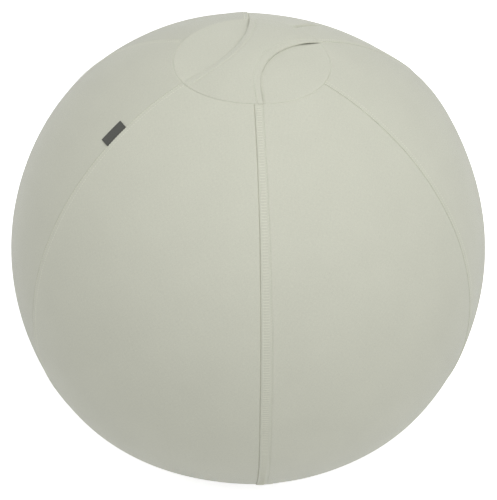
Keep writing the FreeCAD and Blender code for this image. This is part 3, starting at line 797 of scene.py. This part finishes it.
def make_base_panel():
    """The bowl under the gores: rings from its inside middle to its edge, then down its outer face.

    Its edge lies at the base seam in front and at the lower hem of the zip's slot behind."""
    azimuth = np.linspace(0, 2 * np.pi, 288, endpoint=False)
    behind = np.cos(azimuth) < -0.004
    edge = BASE_POLAR + np.where(behind, ZIP_SLOT / 2, 0.1) / BALL
    foot_polar = np.pi - np.arcsin(FOOT / BASE_FACE)
    close = np.array([0, .004, .009, .015, .022, .032, .045, .06])
    down = edge_spread(1.0, close, np.array([0, 0.02]), 40)[0]
    polar = edge + (foot_polar - edge) * down[:, None]
    from_edge = BALL * (polar - edge)
    drop = np.where(behind, 1.2, 1.1) * (1 - step(from_edge, 0, 1.8))
    hem = 0.35 * (1 - step(from_edge, ZIP_HEM, ZIP_HEM + 3)) - 0.3 * ridge(from_edge, ZIP_HEM, 1)
    hem = np.where(behind, hem, 0)
    outer = on_ball(azimuth[None], polar, BASE_FACE + hem - drop)
    inner = on_ball(azimuth[None], polar, BASE_FACE - BASE_CLOTH + 0.4 - drop)[::-1]
    flat = np.linspace(0, 1, 8)[:-1, None, None]
    foot_inside = inner[0] * flat + (1 - flat) * [0, 0, inner[0, 0, 2]]
    foot_outside = outer[-1] * flat + (1 - flat) * [0, 0, outer[-1, 0, 2]]
    rings = np.concatenate([foot_inside, inner, outer, foot_outside[::-1]])
    made = piece("base_panel_cloth", turned(rings), base_cloth, "ball")
    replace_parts(made, "base_panel")

    def line(distance):
        turn = distance / BASE_RING
        tilt = BASE_POLAR + (ZIP_SLOT / 2 + ZIP_HEM) / BALL
        return on_ball(turn, tilt + 0 * turn, BASE_FACE + 0.1)

    row = stitch_row(line, BASE_RING * 1.62, BASE_RING * 4.66)
    stitches = make_stitches("base_panel", [row], "ball")


def make_strip(name, sweep, polar, outside, sink, finish):
    """A thin strip round the ball between two azimuths and two polar angles.

    Its face lies at one distance from the ball's centre near the base seam, and sinks away from it
    to go under a hem."""
    tilt = np.linspace(polar[0], polar[1], 15)[:, None]
    azimuth = np.linspace(sweep[0], sweep[1], 180)[None]
    tilt, azimuth = np.broadcast_arrays(tilt, azimuth)
    height = outside - sink * step(BALL * np.abs(tilt - BASE_POLAR), 3.4, 6.0)
    outer = on_ball(azimuth, tilt, height)
    inner = on_ball(azimuth, tilt, height - 0.5)
    cloth = np.stack([outside * azimuth * np.sin(tilt), outside * tilt], -1)
    made = piece(f"{name}_strip", shell(outer, inner), finish, "ball", twice(cloth))
    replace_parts(made, name)
    (polar[1] - polar[0]) * BALL * MM


def make_bindings():
    """The bound allowances: a strip inside each band, one round the ring, and one at the base in front."""
    for number, name in enumerate(SEAMS):
        polar = np.linspace(TOP_POLAR + 0.03, BASE_POLAR - 0.03, 200)[:, None]
        across = np.linspace(0.13, 0.85, 8)[None] * band_width(polar)
        azimuth = seam_azimuth(number, polar) + across / (BALL * np.sin(polar))
        polar = np.broadcast_to(polar, azimuth.shape)
        height = gore_height(number, azimuth, polar)
        outer = on_ball(azimuth, polar, BALL + height - 1.5)
        inner = on_ball(azimuth, polar, BALL + height - 2.2)
        cloth = np.stack([across, BALL * polar], -1)
        title = f"seam_binding_{name}_strip"
        made = piece(title, shell(outer, inner), binding_tape, "ball", twice(cloth))
        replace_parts(made, f"seam_binding_{name}")
    azimuth = np.linspace(0, 2 * np.pi, 180, endpoint=False)[:, None]
    reach = ring_reach(azimuth) - np.linspace(12, 1.6, 8)[None]
    x = reach * np.sin(azimuth)
    y = -reach * np.cos(azimuth)
    top = panel_height(x, y) - 1.5
    sections = np.concatenate([np.stack([x, y, top], -1), np.stack([x, y, top - 0.7], -1)[:, ::-1]], 1)
    points, faces = looped(sections)
    made = piece("ring_binding_strip", (points, faces), binding_tape, "ball", points[:, :2])
    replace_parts(made, "ring_binding")
    half = ZIP_SWEEP / 2
    edges = (BASE_POLAR - 12 / BALL, BASE_POLAR - 1.5 / BALL)
    make_strip("base_binding", (-half, half), edges, BALL - 2.6, 0.0, binding_tape)


def make_coil(name, side):
    """One row of the zip's coil: a thread that goes round and round along the tape, as a thin tube."""
    loop = 1.6
    end = 6
    thread = 0.33
    turns = int((ZIP_SWEEP * BASE_RING - 2 * end) / loop)
    angle = np.linspace(0, 2 * np.pi * turns, 10 * turns + 1)
    along = end + angle / (2 * np.pi) * loop + (0 if side > 0 else loop / 2)
    azimuth = np.pi - ZIP_SWEEP / 2 + along / BASE_RING
    across = side * (1.55 - 1.35 * np.cos(angle))
    middle = on_ball(azimuth, BASE_POLAR - across / BALL, BALL - 0.75 + 0.62 * np.sin(angle))
    heading = np.gradient(middle, axis=0)
    heading = heading / np.linalg.norm(heading, axis=1, keepdims=True)
    sideways = np.cross(heading, middle - MIDDLE)
    sideways = sideways / np.linalg.norm(sideways, axis=1, keepdims=True)
    outward = np.cross(sideways, heading)
    corner = (np.arange(5) * 2 * np.pi / 5)[:, None]
    spoke = np.cos(corner) * outward[:, None] + np.sin(corner) * sideways[:, None]
    rings = middle[:, None] + thread * spoke
    made = piece(f"{name}_loops", tubes(rings[None]), nylon, "ball", sharp=80)
    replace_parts(made, name)


def make_zip():
    """The zip behind: two woven tapes, and two rows of coil whose loops mesh between them."""
    sweep = (np.pi - ZIP_SWEEP / 2, np.pi + ZIP_SWEEP / 2)
    for side, name, rests_on in ((1, "upper", "gore_rear_cloth"), (-1, "lower", "base_panel_cloth")):
        edges = sorted((BASE_POLAR - side * 0.5 / BALL, BASE_POLAR - side * 14 / BALL))
        make_strip(f"zip_{name}_tape", sweep, edges, BALL - 1.7, 1.2, zip_tape)
        make_coil(f"zip_{name}_coil", side)


def make_inner_ball():
    """The inner ball: a closed skin with moulded rings, flat over the pad and under the top panel."""
    polar = np.linspace(0, np.pi, 260)[:, None]
    azimuth = np.linspace(0, 2 * np.pi, 160, endpoint=False)[None]
    ribs = 0.25 * np.cos(BALL * polar * 2 * np.pi / 22) * (1 - step(np.abs(np.cos(polar)), 0.55, 0.75))
    polar, azimuth = np.broadcast_arrays(polar, azimuth)
    points = on_ball(azimuth, polar, INNER_BALL - 1.6 + ribs + np.minimum(swell(azimuth, polar), 0))
    x, y, z = points[..., 0], points[..., 1], points[..., 2]
    under = np.where(from_ring(x, y) > 3, panel_height(x, y) - 2.6, z)
    points[..., 2] = np.maximum(np.where(polar < 1, np.minimum(z, under), z), PAD_TOP)
    made = piece("bladder_skin", turned(points), vinyl, "ball")
    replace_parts(made, "bladder")


def make_ballast():
    """The sand pad: a round bag that fills the bowl, crowned on top, with small pleats at its edge."""
    azimuth = np.linspace(0, 2 * np.pi, 144, endpoint=False)[None]
    share = np.linspace(0, 1, 40)[:, None]
    reach = PAD * share + 0 * azimuth
    top = 15.6 - 5.5 * step(share, 0.75, 1.0) + 0.5 * np.cos(5 * azimuth + 3 * share) * share
    top = top + 0.3 * np.sin(24 * azimuth) * step(share, 0.6, 0.9)
    bowl = CENTRE - np.sqrt((BALL - 1.9) ** 2 - reach ** 2)
    below = np.maximum(bowl, SOLE + BASE_CLOTH + 0.4)
    top = np.maximum(top, below + 0.2)
    x = reach * np.sin(azimuth)
    y = -reach * np.cos(azimuth)
    rings = np.concatenate([np.stack([x, y, top], -1), np.stack([x, y, below], -1)[::-1]])
    points, faces = turned(rings)
    made = piece("ballast_bag", (points, faces), pad_cloth, "ball", points[:, :2])
    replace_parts(made, "ballast_pad")


def finish_nodes():
    """The hard pieces keep their own shape and get their finish."""
    finishes = {"base_sole": sole_rubber, "valve_seat": valve_plastic, "valve_plug": valve_plastic,
                "zip_start_stop": zip_metal, "zip_end_stop": zip_metal, "zip_slider": zip_metal,
                "zip_pull": zip_metal}
    for name, finish in finishes.items():
        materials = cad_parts[name].data.materials
        materials.clear()
        materials.append(finish)


# The camera's bearing and tilt from the ball's centre, and a small turn about its own axis
CAMERA_BEARING = np.radians(27.2)
CAMERA_TILT = np.radians(41.98)
CAMERA_ROLL = np.radians(1.19)
CAMERA_DISTANCE = 1.7875
CAMERA_AIM = (0.00053, -0.00305)
CAMERA_LENS = 92.52
VIEW_TOWARD = Vector(direction(CAMERA_BEARING, np.pi / 2 - CAMERA_TILT))
VIEW_RIGHT = Vector((np.cos(CAMERA_BEARING), np.sin(CAMERA_BEARING), 0))
VIEW_UP = VIEW_TOWARD.cross(VIEW_RIGHT)

# The strength of the light from all round, and the floor's glow where it is seen
ROOM_LIGHT = 0.405
FLOOR_GLOW = 0.68

# Soft round lamps: the way from the ball's centre, as rightwards, upwards and towards the camera, and power
LAMPS = {
    "lamp_front": ((0.02, 0.22, 1), 18.2),
    "lamp_right": ((0.64, 0.24, 0.7), 13.7),
    "lamp_top": ((0, 0.85, 0.6), 11.0),
    "lamp_left": ((-1, 0.35, 0.35), 6.8),
    "lamp_behind": ((0.6, 0.85, -0.35), 4.4),
    "lamp_behind_left": ((-0.8, 0.7, -0.35), 4.0),
}
LAMP_SIZE = 1.8
LAMP_DISTANCE = 2.6


def placed(name, data, place, aim, roll=0.0):
    """A camera or lamp at a place, looking at a point."""
    made = bpy.data.objects.new(name, data)
    bpy.context.scene.collection.objects.link(made)
    turn = (aim - place).to_track_quat("-Z", "Y").to_matrix().to_4x4()
    made.matrix_world = Matrix.Translation(place) @ turn @ Matrix.Rotation(roll, 4, "Z")
    return made


def make_camera():
    """A camera on the line from the ball's centre, aimed a little to the right of it and below it."""
    centre = Vector(MIDDLE * MM)
    aim = centre + VIEW_RIGHT * CAMERA_AIM[0] + VIEW_UP * CAMERA_AIM[1]
    data = bpy.data.cameras.new("camera")
    data.lens = CAMERA_LENS
    place = centre + VIEW_TOWARD * CAMERA_DISTANCE
    bpy.context.scene.camera = placed("camera", data, place, aim, CAMERA_ROLL)


def seen_directly(wiring):
    """1 for rays that come from the camera, a reflection or glass, and 0 for rays that light the object."""
    path = wiring.node("LightPath")
    return (path + path.other("Is Glossy Ray") + path.other("Is Transmission Ray")).clamped()


def make_room():
    """A white room: even light from all round, a pale floor that keeps the shadow, and soft lamps."""
    world = bpy.data.worlds.new("room")
    world.use_nodes = True
    bpy.context.scene.world = world
    wiring = Wiring(world.node_tree)
    light = wiring.node("Background", (), {"Color": (1, 1, 1, 1), "Strength": ROOM_LIGHT})
    seen = wiring.node("Background", (), {"Color": (1, 1, 1, 1), "Strength": 1.0})
    mixed = wiring.node("MixShader", (), {0: seen_directly(wiring), 1: light, 2: seen})
    wiring.node("OutputWorld", (), {"Surface": mixed}, None)

    material, wiring = finish_wiring("floor")
    speck = wiring.noise(wiring.node("TexCoord", (), (), "Object"), 30.0)
    tone = wiring.mix(speck, (0.9, 0.9, 0.9, 1), (0.92, 0.92, 0.92, 1))
    matt = wiring.node("BsdfDiffuse", (), {"Color": tone})
    glow = wiring.node("Emission", (), {"Strength": seen_directly(wiring) * FLOOR_GLOW})
    both = wiring.node("AddShader", (), {0: matt, 1: glow})
    wiring.node("OutputMaterial", (), {"Surface": both}, None)
    side = np.linspace(-9, 9, 7)
    x, y = np.meshgrid(side, side[::-1])
    mesh = bpy.data.meshes.new("floor")
    points = np.stack([x, y, 0 * x], -1).reshape(-1, 3)
    mesh.from_pydata(points.tolist(), [], grid_faces(7, 7).tolist())
    mesh.materials.append(material)
    floor = bpy.data.objects.new("floor", mesh)
    bpy.context.scene.collection.objects.link(floor)

    centre = Vector(MIDDLE * MM)
    for name, (way, energy) in LAMPS.items():
        lamp = bpy.data.lights.new(name, "AREA")
        lamp.shape = "DISK"
        lamp.size = LAMP_SIZE
        lamp.energy = energy
        way = VIEW_RIGHT * way[0] + VIEW_UP * way[1] + VIEW_TOWARD * way[2]
        placed(name, lamp, centre + way.normalized() * LAMP_DISTANCE, centre)


make_camera()
make_room()
make_gores()
make_top_panel()
make_handle()
make_tag()
make_base_panel()
make_bindings()
make_zip()
make_inner_ball()
make_ballast()
finish_nodes()
bpy.context.scene.view_settings.view_transform = "Standard"
